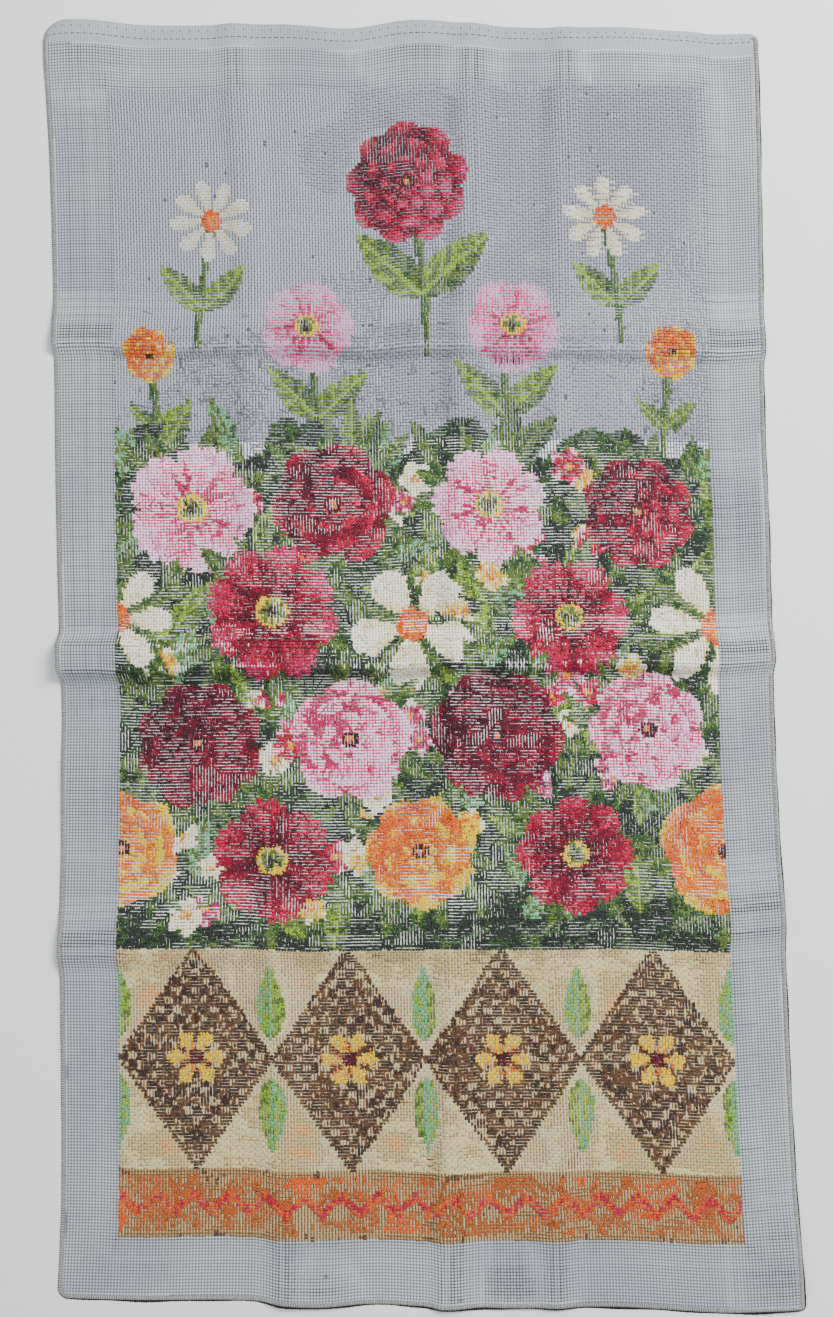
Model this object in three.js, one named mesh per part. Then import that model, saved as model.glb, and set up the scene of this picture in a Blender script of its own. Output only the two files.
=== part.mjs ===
// Panel of counted cross stitch embroidery, lying spread out with its reverse side up.
// Millimetres. +X runs to the right-hand edge, +Y to the selvedge at the top, and +Z up.
// The panel lies on the plane z = 0: flat where it touches, raised along its old fold lines.

import * as THREE from 'three';

// Cloth and stitch count
const INCH = 25.4;
const STITCHES_PER_INCH = 14;
const STITCH = INCH / STITCHES_PER_INCH;
const CLOTH_WIDTH = 441;
const CLOTH_LENGTH = 777;

// Thickness of the cloth with the crosses on its under side, of the floss on top, and the gap
const CLOTH_THICKNESS = 1.2;
const FLOSS_THICKNESS = 1.0;
const LAYER_GAP = 0.3;

// Bare margin around the worked field, in stitches at the two ends of each side
const MARGIN = {
  left: { bottom: 19, top: 21.5 },
  right: { bottom: 18, top: 20 },
  bottom: { left: 20, right: 22 },
  top: { left: 24, right: 18.5 },
};

// The cut cloth is a little skewed, so its four corners are driving points
const CORNER = {
  bottomLeft: { x: -211.4, y: -383.6, round: 6 },
  bottomRight: { x: 230.2, y: -390.2, round: 2 },
  topLeft: { x: -230.5, y: 392.4, round: 13 },
  topRight: { x: 213.0, y: 384.8, round: 6 },
};

// How far each edge strays from the straight line between its corners.
// along: 0 to 1 from the bottom or from the left; out: millimetres towards +X or +Y.
const LEFT_EDGE = [
  { along: 0.00, out: 0.0 },
  { along: 0.07, out: 2.7 },
  { along: 0.16, out: 3.4 },
  { along: 0.28, out: 3.4 },
  { along: 0.38, out: 5.7 },
  { along: 0.45, out: 6.2 },
  { along: 0.52, out: 5.0 },
  { along: 0.60, out: 4.1 },
  { along: 0.79, out: 3.6 },
  { along: 0.89, out: 2.2 },
  { along: 0.96, out: -0.2 },
  { along: 1.00, out: 0.0 },
];
const RIGHT_EDGE = [
  { along: 0.00, out: 0.0 },
  { along: 0.07, out: -1.6 },
  { along: 0.17, out: -3.0 },
  { along: 0.29, out: -3.6 },
  { along: 0.36, out: -4.4 },
  { along: 0.45, out: -5.2 },
  { along: 0.55, out: -4.4 },
  { along: 0.70, out: -4.2 },
  { along: 0.80, out: -2.4 },
  { along: 0.90, out: -0.8 },
  { along: 1.00, out: 0.0 },
];
const BOTTOM_EDGE = [
  { along: 0.00, out: 0.0 },
  { along: 0.11, out: -0.5 },
  { along: 0.25, out: 0.4 },
  { along: 0.34, out: -2.2 },
  { along: 0.43, out: -0.6 },
  { along: 0.51, out: -1.9 },
  { along: 0.66, out: -0.8 },
  { along: 0.76, out: -0.3 },
  { along: 0.90, out: -2.7 },
  { along: 0.97, out: -0.6 },
  { along: 1.00, out: 0.6 },
];
const TOP_EDGE = [
  { along: 0.00, out: 0.0 },
  { along: 0.06, out: 0.5 },
  { along: 0.14, out: -1.4 },
  { along: 0.25, out: -0.6 },
  { along: 0.34, out: 0.6 },
  { along: 0.43, out: -1.3 },
  { along: 0.52, out: 3.3 },
  { along: 0.63, out: 1.5 },
  { along: 0.72, out: 1.0 },
  { along: 0.79, out: 1.5 },
  { along: 0.90, out: 0.5 },
  { along: 0.94, out: -1.2 },
  { along: 1.00, out: 0.0 },
];

// Old fold lines that still stand up. Each value is a pair, for the two ends of the fold.
// at: place of the crest, 0 to 1; rise: height; crown: width of the crest;
// before and after: widths of the slopes below or left of it, and above or right of it.
const FOLDS_ACROSS = [
  { name: 'lower', at: [0.262, 0.297], rise: [4.5, 3.0], crown: [4, 10], before: [16, 18], after: [30, 35] },
  { name: 'middle', at: [0.488, 0.499], rise: [9.5, 5.5], crown: [12, 4], before: [11, 10], after: [13, 26] },
  { name: 'upper', at: [0.738, 0.742], rise: [4.8, 4.0], crown: [2, 2], before: [9, 10], after: [32, 36] },
];
const FOLDS_ALONG = [
  { name: 'left', at: [0.302, 0.262], rise: [2.8, 2.0], crown: [2, 2], before: [16, 14], after: [22, 20] },
  { name: 'centre', at: [0.520, 0.600], rise: [3.4, 2.6], crown: [3, 3], before: [12, 16], after: [26, 22] },
  { name: 'right', at: [0.668, 0.730], rise: [2.2, 1.8], crown: [2, 2], before: [18, 16], after: [18, 20] },
];

// Soft swells where the cloth doesn't lie quite flat. reach is the radius and rise the height.
const SWELLS = [
  { across: 0.05, along: 0.985, reach: 42, rise: 2.2 },
  { across: 0.52, along: 1.000, reach: 46, rise: 2.6 },
  { across: 0.80, along: 0.990, reach: 36, rise: 1.6 },
  { across: 0.17, along: 0.860, reach: 52, rise: 1.3 },
  { across: 0.96, along: 0.610, reach: 44, rise: 1.8 },
  { across: 0.04, along: 0.390, reach: 46, rise: 1.6 },
  { across: 0.34, along: 0.000, reach: 34, rise: 2.4 },
  { across: 0.62, along: 0.010, reach: 30, rise: 1.6 },
  { across: 1.00, along: 0.030, reach: 48, rise: 3.0 },
];

// Widest spacing of the mesh lines between the named ones
const COLUMN_SPACING = 30;
const ROW_SPACING = 28;

// Mesh lines on the slope of a fold, from its foot (1) to its crown (0)
const SLOPE_SHARES = [1, 0.55, 0];

// Distance to each side over which the lean of the cloth is measured
const LEAN_REACH = 1;

const lerp = (a, b, f) => a + (b - a) * f;

// Smooth curve through a table of {along, out} rows
function stray(table, along) {
  let i = 0;
  while (i < table.length - 2 && along > table[i + 1].along) i += 1;
  const slopeAt = (k) => {
    const lo = table[Math.max(k - 1, 0)];
    const hi = table[Math.min(k + 1, table.length - 1)];
    return (hi.out - lo.out) / (hi.along - lo.along);
  };
  const a = table[i];
  const b = table[i + 1];
  const span = b.along - a.along;
  const f = (along - a.along) / span;
  const f2 = f * f;
  const f3 = f2 * f;
  return a.out * (2 * f3 - 3 * f2 + 1) + slopeAt(i) * span * (f3 - 2 * f2 + f)
    + b.out * (3 * f2 - 2 * f3) + slopeAt(i + 1) * span * (f3 - f2);
}

// Place in plan of a point of the cloth: across and along run from 0 to 1
function plan(across, along) {
  const { bottomLeft, bottomRight, topLeft, topRight } = CORNER;
  const bottomX = lerp(bottomLeft.x, bottomRight.x, across);
  const topX = lerp(topLeft.x, topRight.x, across);
  const leftY = lerp(bottomLeft.y, topLeft.y, along);
  const rightY = lerp(bottomRight.y, topRight.y, along);
  return new THREE.Vector2(
    lerp(bottomX, topX, along) + lerp(stray(LEFT_EDGE, along), stray(RIGHT_EDGE, along), across),
    lerp(leftY, rightY, across) + lerp(stray(BOTTOM_EDGE, across), stray(TOP_EDGE, across), along),
  );
}

// Height of one fold at a distance from its crest line, end being 0 to 1 along the fold
function foldHeight(fold, distance, end) {
  const half = lerp(...fold.crown, end) / 2;
  const slope = distance < 0 ? lerp(...fold.before, end) : lerp(...fold.after, end);
  const past = THREE.MathUtils.clamp((Math.abs(distance) - half) / slope, 0, 1);
  const soft = 1 - past;
  return lerp(...fold.rise, end) * soft * soft * (1 + 2 * past * soft);
}

// Height of the under side of the cloth above the surface that it lies on
function height(across, along) {
  let ridgeAcross = 0;
  for (const fold of FOLDS_ACROSS) {
    const distance = (along - lerp(...fold.at, across)) * CLOTH_LENGTH;
    ridgeAcross += foldHeight(fold, distance, across);
  }
  let ridgeAlong = 0;
  for (const fold of FOLDS_ALONG) {
    const distance = (across - lerp(...fold.at, along)) * CLOTH_WIDTH;
    ridgeAlong += foldHeight(fold, distance, along);
  }
  let swell = 0;
  for (const { across: s, along: t, reach, rise } of SWELLS) {
    const away = Math.hypot((across - s) * CLOTH_WIDTH, (along - t) * CLOTH_LENGTH) / reach;
    if (away < 1) swell += rise * (1 - away * away) ** 2;
  }
  return Math.hypot(ridgeAcross, ridgeAlong, swell);
}

// Rounds the square corners: a square of side round becomes a quarter disc
function rounded(point, across, along) {
  const side = across < 0.5 ? 'Left' : 'Right';
  const corner = CORNER[(along < 0.5 ? 'bottom' : 'top') + side];
  const fromSide = Math.min(across, 1 - across) * CLOTH_WIDTH;
  const fromEnd = Math.min(along, 1 - along) * CLOTH_LENGTH;
  const a = corner.round - fromSide;
  const b = corner.round - fromEnd;
  if (a <= 0 || b <= 0) return point;
  const square = 2 * corner.round * corner.round;
  point.x += Math.sign(across - 0.5) * (a * Math.sqrt(1 - (b * b) / square) - a);
  point.y += Math.sign(along - 0.5) * (b * Math.sqrt(1 - (a * a) / square) - b);
  return point;
}

// Point at a given depth above the under side, measured square to the cloth
function surface(across, along, depth) {
  const flat = rounded(plan(across, along), across, along);
  const ds = LEAN_REACH / CLOTH_WIDTH;
  const dt = LEAN_REACH / CLOTH_LENGTH;
  const leanX = (height(across + ds, along) - height(across - ds, along)) / (2 * LEAN_REACH);
  const leanY = (height(across, along + dt) - height(across, along - dt)) / (2 * LEAN_REACH);
  const up = new THREE.Vector3(-leanX, -leanY, 1).normalize().multiplyScalar(depth);
  return new THREE.Vector3(flat.x, flat.y, height(across, along)).add(up);
}

// Mesh lines that follow one fold: its two feet, the middles of its slopes and its crest
function foldLines(fold, length) {
  const lines = [];
  for (const [side, edge] of [['before', -1], ['after', 1]]) {
    for (const share of SLOPE_SHARES) {
      lines.push(fold.at.map((at, end) => (
        at + edge * (fold.crown[end] / 2 + share * fold[side][end]) / length
      )));
    }
  }
  return lines;
}

// Mesh lines at the two ends of one side: the edge and the rounding of its corners
function cornerLines(roundStart, roundEnd, length, far) {
  return [0, 0.5, 1].map((share) => [roundStart, roundEnd].map((round) => {
    const inset = (share * round) / length;
    return far ? 1 - inset : inset;
  }));
}

// Adds evenly spaced lines wherever two neighbours are further apart than spacing
function filled(lines, length, spacing) {
  const sorted = [...lines].sort((p, q) => (p[0] + p[1]) - (q[0] + q[1]));
  const result = [sorted[0]];
  for (let i = 1; i < sorted.length; i += 1) {
    const [from, to] = [sorted[i - 1], sorted[i]];
    const widest = Math.max(to[0] - from[0], to[1] - from[1]) * length;
    const steps = Math.max(1, Math.ceil(widest / spacing));
    for (let k = 1; k <= steps; k += 1) {
      result.push([lerp(from[0], to[0], k / steps), lerp(from[1], to[1], k / steps)]);
    }
  }
  return result;
}

const inStitches = (count, length) => (count * STITCH) / length;

// Edges of the worked field as pairs, for the two ends of each side
const FIELD = {
  left: [MARGIN.left.bottom, MARGIN.left.top].map((n) => inStitches(n, CLOTH_WIDTH)),
  right: [MARGIN.right.bottom, MARGIN.right.top].map((n) => 1 - inStitches(n, CLOTH_WIDTH)),
  bottom: [MARGIN.bottom.left, MARGIN.bottom.right].map((n) => inStitches(n, CLOTH_LENGTH)),
  top: [MARGIN.top.left, MARGIN.top.right].map((n) => 1 - inStitches(n, CLOTH_LENGTH)),
};

const { bottomLeft, bottomRight, topLeft, topRight } = CORNER;
const COLUMNS = filled([
  ...cornerLines(bottomLeft.round, topLeft.round, CLOTH_WIDTH, false),
  FIELD.left,
  ...FOLDS_ALONG.flatMap((fold) => foldLines(fold, CLOTH_WIDTH)),
  FIELD.right,
  ...cornerLines(bottomRight.round, topRight.round, CLOTH_WIDTH, true),
], CLOTH_WIDTH, COLUMN_SPACING);
const ROWS = filled([
  ...cornerLines(bottomLeft.round, bottomRight.round, CLOTH_LENGTH, false),
  FIELD.bottom,
  ...FOLDS_ACROSS.flatMap((fold) => foldLines(fold, CLOTH_LENGTH)),
  FIELD.top,
  ...cornerLines(topLeft.round, topRight.round, CLOTH_LENGTH, true),
], CLOTH_LENGTH, ROW_SPACING);

// Where a row crosses a column: both are straight lines between their ends
function crossing(column, row) {
  const lean = column[1] - column[0];
  const tilt = row[1] - row[0];
  const across = (column[0] + lean * row[0]) / (1 - lean * tilt);
  return [across, row[0] + tilt * across];
}

// Closed sheet between two depths, over a block of the mesh lines
function sheet(columns, rows, low, high) {
  const position = [];
  for (const depth of [low, high]) {
    for (const row of rows) {
      for (const column of columns) {
        position.push(...surface(...crossing(column, row), depth).toArray());
      }
    }
  }
  const wide = columns.length;
  const layer = wide * rows.length;
  const index = [];
  const quad = (a, b, c, d) => index.push(a, b, c, a, c, d);
  for (let j = 0; j < rows.length - 1; j += 1) {
    for (let i = 0; i < wide - 1; i += 1) {
      const a = j * wide + i;
      quad(a + layer, a + 1 + layer, a + wide + 1 + layer, a + wide + layer);
      quad(a, a + wide, a + wide + 1, a + 1);
    }
  }
  for (let i = 0; i < wide - 1; i += 1) {
    const last = (rows.length - 1) * wide + i;
    quad(i, i + 1, i + 1 + layer, i + layer);
    quad(last + 1, last, last + layer, last + 1 + layer);
  }
  for (let j = 0; j < rows.length - 1; j += 1) {
    const first = j * wide;
    const last = first + wide - 1;
    quad(first + wide, first, first + layer, first + wide + layer);
    quad(last, last + wide, last + wide + layer, last + layer);
  }
  const geometry = new THREE.BufferGeometry();
  geometry.setAttribute('position', new THREE.Float32BufferAttribute(position, 3));
  geometry.setIndex(index);
  geometry.computeVertexNormals();
  return geometry;
}

// The mesh lines from one named line to another
const between = (lines, from, to) => {
  const same = (p, q) => Math.abs(p[0] - q[0]) + Math.abs(p[1] - q[1]) < 1e-9;
  return lines.slice(lines.findIndex((p) => same(p, from)), lines.findIndex((p) => same(p, to)) + 1);
};

// The whole even-weave cloth, selvedge and overlocked edges included
function groundCloth() {
  const material = new THREE.MeshStandardMaterial({ color: 0xb4b7c0, roughness: 0.95, metalness: 0 });
  const mesh = new THREE.Mesh(sheet(COLUMNS, ROWS, 0, CLOTH_THICKNESS), material);
  mesh.name = 'ground_cloth';
  return mesh;
}

// The thick layer of floss over the worked field
function workedFloss() {
  const low = CLOTH_THICKNESS + LAYER_GAP;
  const columns = between(COLUMNS, FIELD.left, FIELD.right);
  const rows = between(ROWS, FIELD.bottom, FIELD.top);
  const material = new THREE.MeshStandardMaterial({ color: 0x9a6a63, roughness: 0.75, metalness: 0 });
  const mesh = new THREE.Mesh(sheet(columns, rows, low, low + FLOSS_THICKNESS), material);
  mesh.name = 'worked_floss';
  return mesh;
}

const panel = new THREE.Group();
panel.name = 'embroidery_panel';
panel.add(groundCloth(), workedFloss());

// The middle of the panel's own outline stands over the origin
const box = new THREE.Box3().setFromObject(panel);
const middle = box.getCenter(new THREE.Vector3());
panel.position.set(-middle.x, -middle.y, 0);

export default panel;
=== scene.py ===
# %% [markdown]
# # A panel of cross stitch, reverse side up
# The panel lies spread on a table with its back showing: pale block-weave cloth with bare margins, a
# field worked all over in floss, a woven selvedge along the top edge and overlocking along the other
# three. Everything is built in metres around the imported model, which gives the outline and the folds.

# %% Load the frame
import math

import bpy
import numpy as np
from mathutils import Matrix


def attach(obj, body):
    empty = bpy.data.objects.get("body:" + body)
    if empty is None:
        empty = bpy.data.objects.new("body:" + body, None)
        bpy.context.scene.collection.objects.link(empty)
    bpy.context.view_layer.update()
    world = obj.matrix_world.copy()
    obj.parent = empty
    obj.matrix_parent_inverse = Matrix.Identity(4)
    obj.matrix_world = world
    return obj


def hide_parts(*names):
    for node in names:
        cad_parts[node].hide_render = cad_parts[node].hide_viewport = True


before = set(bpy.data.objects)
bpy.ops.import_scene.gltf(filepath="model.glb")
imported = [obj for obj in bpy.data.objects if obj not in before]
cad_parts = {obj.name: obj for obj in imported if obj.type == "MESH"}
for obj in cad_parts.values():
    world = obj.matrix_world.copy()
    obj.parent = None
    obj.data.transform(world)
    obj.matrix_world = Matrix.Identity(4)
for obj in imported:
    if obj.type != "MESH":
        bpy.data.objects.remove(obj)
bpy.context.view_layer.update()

# %% [markdown]
# ## The cloth's own chart
# Cloth is flat before it is laid down, so every thread and stitch has a plain address: a share of the
# way across and a share of the way along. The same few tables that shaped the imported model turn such
# an address into a place in the room. Working in the flat and draping at the end keeps each stitch on
# its holes, and it is how the real panel came about.

# %% Driving sizes, in millimetres
MM = 0.001
STITCH = 25.4 / 14
CLOTH_WIDTH = 441
CLOTH_LENGTH = 777
CORNERS = {
    "bottom_left": dict(x=-211.4, y=-383.6, round=6),
    "bottom_right": dict(x=230.2, y=-390.2, round=2),
    "top_left": dict(x=-230.5, y=392.4, round=13),
    "top_right": dict(x=213.0, y=384.8, round=6),
}

# Rows of (share along the edge, millimetres that it strays from a straight line)
LEFT_EDGE = (
    (0.00, 0.0), (0.07, 2.7), (0.16, 3.4), (0.28, 3.4), (0.38, 5.7), (0.45, 6.2),
    (0.52, 5.0), (0.60, 4.1), (0.79, 3.6), (0.89, 2.2), (0.96, -0.2), (1.00, 0.0),
)
RIGHT_EDGE = (
    (0.00, 0.0), (0.07, -1.6), (0.17, -3.0), (0.29, -3.6), (0.36, -4.4), (0.45, -5.2),
    (0.55, -4.4), (0.70, -4.2), (0.80, -2.4), (0.90, -0.8), (1.00, 0.0),
)
BOTTOM_EDGE = (
    (0.00, 0.0), (0.11, -0.5), (0.25, 0.4), (0.34, -2.2), (0.43, -0.6), (0.51, -1.9),
    (0.66, -0.8), (0.76, -0.3), (0.90, -2.7), (0.97, -0.6), (1.00, 0.6),
)
TOP_EDGE = (
    (0.00, 0.0), (0.06, 0.5), (0.14, -1.4), (0.25, -0.6), (0.34, 0.6), (0.43, -1.3), (0.52, 3.3),
    (0.63, 1.5), (0.72, 1.0), (0.79, 1.5), (0.90, 0.5), (0.94, -1.2), (1.00, 0.0),
)

# Old fold lines. Each value is a pair, for the two ends of the fold
FOLDS_ACROSS = (
    dict(at=(0.262, 0.297), rise=(4.5, 3.0), crown=(4, 10), before=(16, 18), after=(30, 35)),
    dict(at=(0.488, 0.499), rise=(9.5, 5.5), crown=(12, 4), before=(11, 10), after=(13, 26)),
    dict(at=(0.738, 0.742), rise=(4.8, 4.0), crown=(2, 2), before=(9, 10), after=(32, 36)),
)
FOLDS_ALONG = (
    dict(at=(0.302, 0.262), rise=(2.8, 2.0), crown=(2, 2), before=(16, 14), after=(22, 20)),
    dict(at=(0.520, 0.600), rise=(3.4, 2.6), crown=(3, 3), before=(12, 16), after=(26, 22)),
    dict(at=(0.668, 0.730), rise=(2.2, 1.8), crown=(2, 2), before=(18, 16), after=(18, 20)),
)

# Soft swells where the cloth doesn't lie quite flat
SWELLS = (
    dict(across=0.05, along=0.985, reach=42, rise=2.2),
    dict(across=0.52, along=1.000, reach=46, rise=2.6),
    dict(across=0.80, along=0.990, reach=36, rise=1.6),
    dict(across=0.17, along=0.860, reach=52, rise=1.3),
    dict(across=0.96, along=0.610, reach=44, rise=1.8),
    dict(across=0.04, along=0.390, reach=46, rise=1.6),
    dict(across=0.34, along=0.000, reach=34, rise=2.4),
    dict(across=0.62, along=0.010, reach=30, rise=1.6),
    dict(across=1.00, along=0.030, reach=48, rise=3.0),
)


# %% From the flat to the draped cloth
def lerp(ends, share):
    return ends[0] + (ends[1] - ends[0]) * share


def side_by_side(*values):
    """One array whose last axis holds the values, each an array or a single number."""
    return np.stack(np.broadcast_arrays(*values), axis=-1)


def stray(table, share):
    """Smooth curve through the rows of an edge's table."""
    knots, outs = np.array(table).T
    last = len(knots) - 1
    before = np.maximum(np.arange(last + 1) - 1, 0)
    after = np.minimum(np.arange(last + 1) + 1, last)
    slopes = (outs[after] - outs[before]) / (knots[after] - knots[before])
    i = np.searchsorted(knots[1:-1], share)
    span = knots[i + 1] - knots[i]
    f = (share - knots[i]) / span
    start = outs[i] * (2 * f ** 3 - 3 * f ** 2 + 1) + slopes[i] * span * (f ** 3 - 2 * f ** 2 + f)
    end = outs[i + 1] * (3 * f ** 2 - 2 * f ** 3) + slopes[i + 1] * span * (f ** 3 - f ** 2)
    return start + end


def between_corners(key, across, along):
    bottom = lerp((CORNERS["bottom_left"][key], CORNERS["bottom_right"][key]), across)
    top = lerp((CORNERS["top_left"][key], CORNERS["top_right"][key]), across)
    return lerp((bottom, top), along)


def plan(across, along):
    """Place in plan, in millimetres, before the corners are rounded."""
    sides = lerp((stray(LEFT_EDGE, along), stray(RIGHT_EDGE, along)), across)
    ends = lerp((stray(BOTTOM_EDGE, across), stray(TOP_EDGE, across)), along)
    return between_corners("x", across, along) + sides, between_corners("y", across, along) + ends


def rounded(x, y, across, along):
    """Turns the square corners into quarter discs."""
    for name, corner in CORNERS.items():
        far_side = "right" in name
        far_end = "top" in name
        size = corner["round"]
        a = size - (1 - across if far_side else across) * CLOTH_WIDTH
        b = size - (1 - along if far_end else along) * CLOTH_LENGTH
        near = (a > 0) & (b > 0)
        a, b = np.clip(a, 0, size), np.clip(b, 0, size)
        pull_x = np.where(near, a * np.sqrt(1 - b ** 2 / (2 * size ** 2)) - a, 0)
        pull_y = np.where(near, b * np.sqrt(1 - a ** 2 / (2 * size ** 2)) - b, 0)
        x = x + (1 if far_side else -1) * pull_x
        y = y + (1 if far_end else -1) * pull_y
    return x, y


def fold_height(fold, distance, end):
    half = lerp(fold["crown"], end) / 2
    slope = np.where(distance < 0, lerp(fold["before"], end), lerp(fold["after"], end))
    soft = 1 - np.clip((np.abs(distance) - half) / slope, 0, 1)
    return lerp(fold["rise"], end) * soft * soft * (1 + 2 * (1 - soft) * soft)


def ridges(folds, share, along_them, length):
    """Height of a set of folds, at a share of the way square to them."""
    height_here = 0
    for fold in folds:
        distance = (share - lerp(fold["at"], along_them)) * length
        height_here = height_here + fold_height(fold, distance, along_them)
    return height_here


def swells(across, along):
    height_here = 0
    for swell in SWELLS:
        aside, ahead = (across - swell["across"]) * CLOTH_WIDTH, (along - swell["along"]) * CLOTH_LENGTH
        away = np.hypot(aside, ahead) / swell["reach"]
        height_here = height_here + swell["rise"] * np.clip(1 - away * away, 0, 1) ** 2
    return height_here


def height(across, along):
    """Height of the under side above the table, in millimetres."""
    ridge_across = ridges(FOLDS_ACROSS, along, across, CLOTH_LENGTH)
    ridge_along = ridges(FOLDS_ALONG, across, along, CLOTH_WIDTH)
    return np.sqrt(ridge_across ** 2 + ridge_along ** 2 + swells(across, along) ** 2)


# Millimetres to each side within which the lean of the surface is measured
LEAN_REACH = 1


def surface(across, along, depth):
    """Point in millimetres at a depth above the under side, measured square to the cloth."""
    across, along = np.clip(across, 0, 1), np.clip(along, 0, 1)
    x, y = rounded(*plan(across, along), across, along)
    ds, dt = LEAN_REACH / CLOTH_WIDTH, LEAN_REACH / CLOTH_LENGTH
    lean_x = (height(across + ds, along) - height(across - ds, along)) / (2 * LEAN_REACH)
    lean_y = (height(across, along + dt) - height(across, along - dt)) / (2 * LEAN_REACH)
    long = np.sqrt(lean_x ** 2 + lean_y ** 2 + 1)
    z = height(across, along) + depth / long
    return side_by_side(x - lean_x * depth / long, y - lean_y * depth / long, z)


# %% [markdown]
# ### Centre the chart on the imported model
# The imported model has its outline's middle over the origin. The outline is walked once to find the
# same middle, and from then on place() answers in metres in the shared frame.

# %% Centre it
WALK = np.linspace(0, 1, 400)
rim = np.concatenate([
    surface(WALK, 0 * WALK, 0),
    surface(WALK, 0 * WALK + 1, 0),
    surface(0 * WALK, WALK, 0),
    surface(0 * WALK + 1, WALK, 0),
])
MIDDLE = np.append((rim.min(axis=0) + rim.max(axis=0))[:2] / 2, 0)


def place(across, along, depth):
    """The same point in metres in the shared frame."""
    return (surface(across, along, depth) - MIDDLE) * MM


# %% [markdown]
# ### Count in stitches
# A stitcher finds a place by counting holes. The worked field is 202 stitches wide and 384 high, and
# the holes go on into the margins at the same pitch. These two functions turn a count into an address
# on the cloth and back, so that the weave, its holes and every stitch share one grid.

# %% Counted addresses
FIELD_COLUMNS = 202
FIELD_ROWS = 384
# Bare margin in stitches, at the two ends of each side
MARGIN = dict(left=(19, 21.5), right=(18, 20), bottom=(20, 22), top=(24, 18.5))


def margin_line(name, length, far):
    inset = np.array(MARGIN[name]) * STITCH / length
    return 1 - inset if far else inset


LEFT, RIGHT = margin_line("left", CLOTH_WIDTH, False), margin_line("right", CLOTH_WIDTH, True)
BOTTOM, TOP = margin_line("bottom", CLOTH_LENGTH, False), margin_line("top", CLOTH_LENGTH, True)


def address(column, row):
    """Share across and along of a counted place, where column 0 and row 0 are the field's corner."""
    u, v = column / FIELD_COLUMNS, row / FIELD_ROWS
    start, lean = lerp((LEFT[0], RIGHT[0]), u), lerp((LEFT[1] - LEFT[0], RIGHT[1] - RIGHT[0]), u)
    foot, tilt = lerp((BOTTOM[0], TOP[0]), v), lerp((BOTTOM[1] - BOTTOM[0], TOP[1] - TOP[0]), v)
    across = (start + lean * foot) / (1 - lean * tilt)
    return across, foot + tilt * across


def counted(across, along):
    """Column and row of an address on the cloth."""
    u = (across - lerp(LEFT, along)) / (lerp(RIGHT, along) - lerp(LEFT, along))
    v = (along - lerp(BOTTOM, across)) / (lerp(TOP, across) - lerp(BOTTOM, across))
    return u * FIELD_COLUMNS, v * FIELD_ROWS


# %% [markdown]
# ### What lies on what
# Full crosses on the front hold the cloth a little off the table under the worked field, and the bare
# margins sink back to it over a few stitches. pile() is that small lift, and the cloth, the floss and
# the margins' weave all stand on it.

# %% Layers
FRONT_PILE = 0.55
CLOTH_THICK = 0.6
TABLE_GAP = 0.05
SINK = 8


def smooth(low, high, value):
    """0 below low, 1 above high, and an even curve between them."""
    f = np.clip((value - low) / (high - low), 0, 1)
    return f * f * (3 - 2 * f)


def pile(column, row):
    """Depth in millimetres of the cloth's under side above the draped surface."""
    inside = smooth(-SINK, 0, column) * smooth(-SINK, 0, FIELD_COLUMNS - column)
    inside = inside * smooth(-SINK, 0, row) * smooth(-SINK, 0, FIELD_ROWS - row)
    return TABLE_GAP + FRONT_PILE * inside


def drape(column, row, above):
    """Metres for points given in stitches, at millimetres above the face of the cloth."""
    across, along = address(column, row)
    return place(across, along, pile(column, row) + CLOTH_THICK + above)


# %% [markdown]
# ## Camera, light and table
# The picture was taken from about 64 cm above the panel with the lens tipped 2.3 degrees towards the
# selvedge, which is what makes the stitches near the bottom edge look a little larger. Soft light
# comes from the upper right and grazes the folds, with a weaker fill from the other side.


# %% Camera
def put_in_scene(name, data):
    """A new object at the origin."""
    made = bpy.data.objects.new(name, data)
    bpy.context.scene.collection.objects.link(made)
    return made


PICTURE_HIGH = 1317
SENSOR_HIGH = 36
LENS_PIXELS = 1050
CAMERA_TILT = math.radians(2.345)
CAMERA_HEIGHT = 637.66
CAMERA_BACK = -26.1
PICTURE_SHIFT = (0.95, -4.65)

camera_data = bpy.data.cameras.new("camera")
camera_data.sensor_fit = "VERTICAL"
camera_data.sensor_height = SENSOR_HIGH
camera_data.lens = SENSOR_HIGH * LENS_PIXELS / PICTURE_HIGH
camera = put_in_scene("camera", camera_data)
camera.location = [
    (PICTURE_SHIFT[0] - MIDDLE[0]) * MM,
    (CAMERA_BACK + PICTURE_SHIFT[1] - MIDDLE[1]) * MM,
    CAMERA_HEIGHT * MM,
]
camera.rotation_euler = (CAMERA_TILT, 0, 0)
bpy.context.scene.camera = camera
print("lens", round(camera_data.lens, 2), "mm at", [round(v, 4) for v in camera.location])

# %% [markdown]
# ### A small language for materials
# A material is a tree of nodes, but a recipe reads better as arithmetic. Value wraps one socket and
# lets Python's own signs build the Math nodes, and Tree adds every other node with one method. The
# same two classes also serve the Geometry Nodes further down, because both are node trees.


# %% Values and trees
def sign(operation, swapped=False):
    """A method of Value that adds one Math node. Swapped, the other term comes first."""

    def method(value, *others):
        terms = (*others, value) if swapped else (value, *others)
        return value.tree.node("ShaderNodeMath", dict(operation=operation), dict(enumerate(terms)))

    return method


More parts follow.
